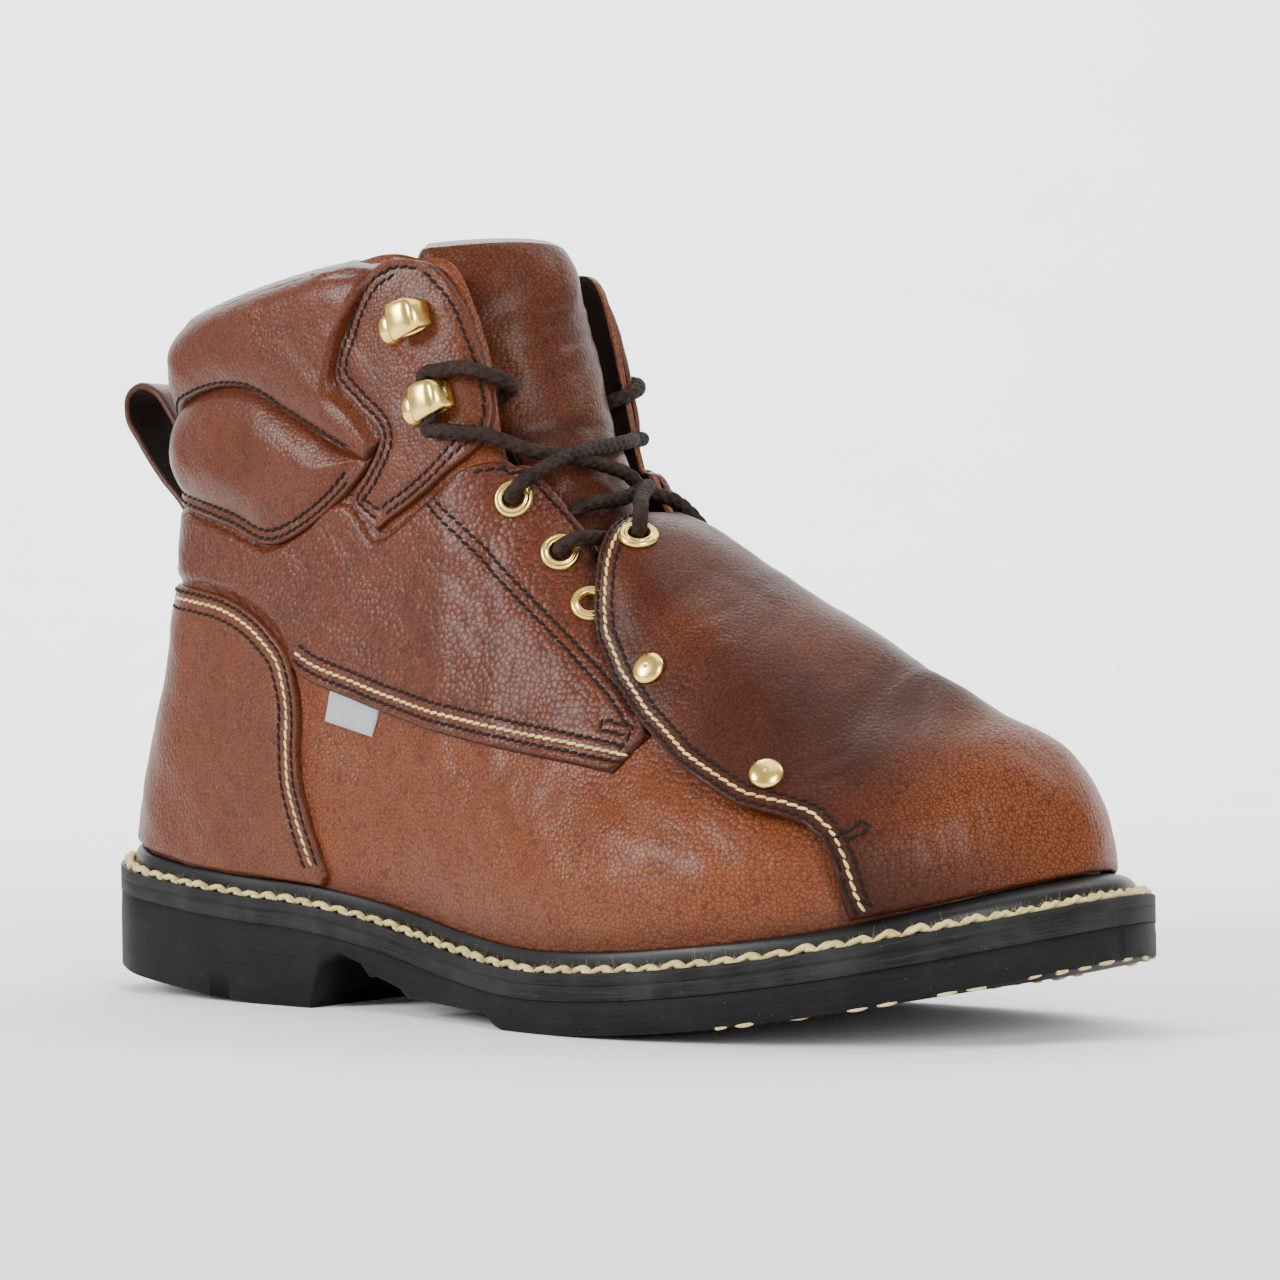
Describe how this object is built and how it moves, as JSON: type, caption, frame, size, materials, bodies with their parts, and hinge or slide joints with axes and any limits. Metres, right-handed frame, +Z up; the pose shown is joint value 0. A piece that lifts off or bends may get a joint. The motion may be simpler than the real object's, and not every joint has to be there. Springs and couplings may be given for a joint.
{
  "type": "work boot",
  "caption": "Lace-up leather work boot for the right foot with a welted rubber lug sole, padded collar, brass eyelets and hooks, and a hinged leather guard over the instep.",
  "frame": {"origin": "centre of the boot's footprint box, on the plane that its sole stands on", "axes": "+X towards the toe, +Y towards the inner (medial) side, +Z up"},
  "size_m": [0.308, 0.11, 0.197],
  "materials": {
    "outsole": "matte black rubber",
    "midsole": "ground black rubber edge",
    "insole": "grey woven cloth",
    "welt": "black welt with cream stitching",
    "vamp_leather": "pebbled warm brown leather",
    "shaft_leather": "oiled red-brown leather",
    "guard_leather": "smooth dark red-brown leather",
    "tag": "grey reflective cloth",
    "fittings": "polished pale brass",
    "lace": "dark brown round braid"
  },
  "bodies": {
    "root": {"outsole": "outsole", "midsole": "midsole", "insole": "insole", "welt": "welt", "upper": "vamp_leather", "counter": "vamp_leather", "collar": "shaft_leather", "quarter_lateral": "shaft_leather", "quarter_medial": "shaft_leather", "ankle_pad_lateral": "shaft_leather", "ankle_pad_medial": "shaft_leather", "hook_stay_lateral": "shaft_leather", "hook_stay_medial": "shaft_leather", "tag": "tag", "met_guard": "guard_leather", "tongue": "guard_leather", "pull_loop": "shaft_leather", "eyelet_lateral_1": "fittings", "eyelet_lateral_2": "fittings", "eyelet_lateral_3": "fittings", "eyelet_medial_1": "fittings", "eyelet_medial_2": "fittings", "eyelet_medial_3": "fittings", "hook_lateral_1": "fittings", "hook_lateral_2": "fittings", "hook_medial_1": "fittings", "hook_medial_2": "fittings", "rivet_lateral_1": "fittings", "rivet_lateral_2": "fittings", "rivet_medial_1": "fittings", "rivet_medial_2": "fittings", "guard_eyelet_lateral": "fittings", "guard_eyelet_medial": "fittings", "lace_crossings": "lace", "lace_bar": "lace", "lace_end_lateral": "lace", "lace_end_medial": "lace"}
  },
  "joints": []
}
